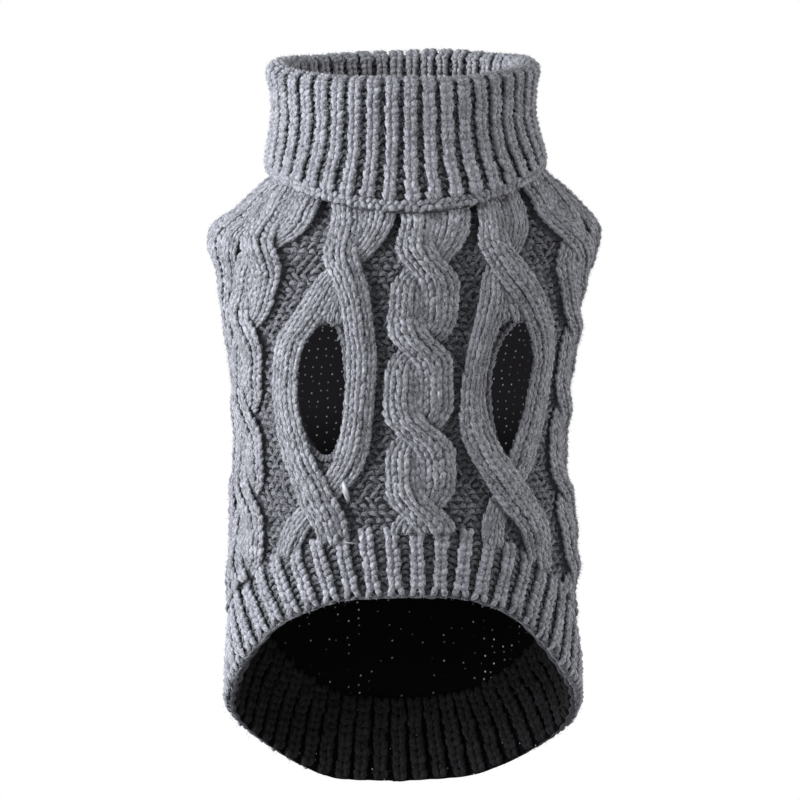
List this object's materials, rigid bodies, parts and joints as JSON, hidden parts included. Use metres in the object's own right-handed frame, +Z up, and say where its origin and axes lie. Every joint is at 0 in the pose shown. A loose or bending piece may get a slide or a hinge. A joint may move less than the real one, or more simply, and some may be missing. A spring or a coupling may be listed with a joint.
{
  "type": "dog sweater",
  "caption": "Cable-knit dog sweater with a folded ribbed turtleneck, leg holes through the belly panel and a ribbed hem cut high on the belly, filled out as worn.",
  "frame": {"origin": "middle of the neck seam, where the collar joins the body, at the mount wearer", "axes": "+Z up out of the collar, -Y out of the belly panel, +Y out of the back, +X to the right as seen facing the belly"},
  "size_m": [0.159, 0.1206, 0.3181],
  "materials": {
    "cable_knit": "grey marl knitted yarn, soft and matte with short fuzz",
    "collar_rib": "grey marl ribbed knit, soft and matte with short fuzz",
    "hem_rib": "grey marl ribbed knit, soft and matte with short fuzz"
  },
  "bodies": {
    "root": {"belly_panel": "cable_knit", "back_panel": "cable_knit", "collar": "collar_rib", "belly_hem_rib": "hem_rib", "back_hem_rib": "hem_rib"}
  },
  "joints": []
}
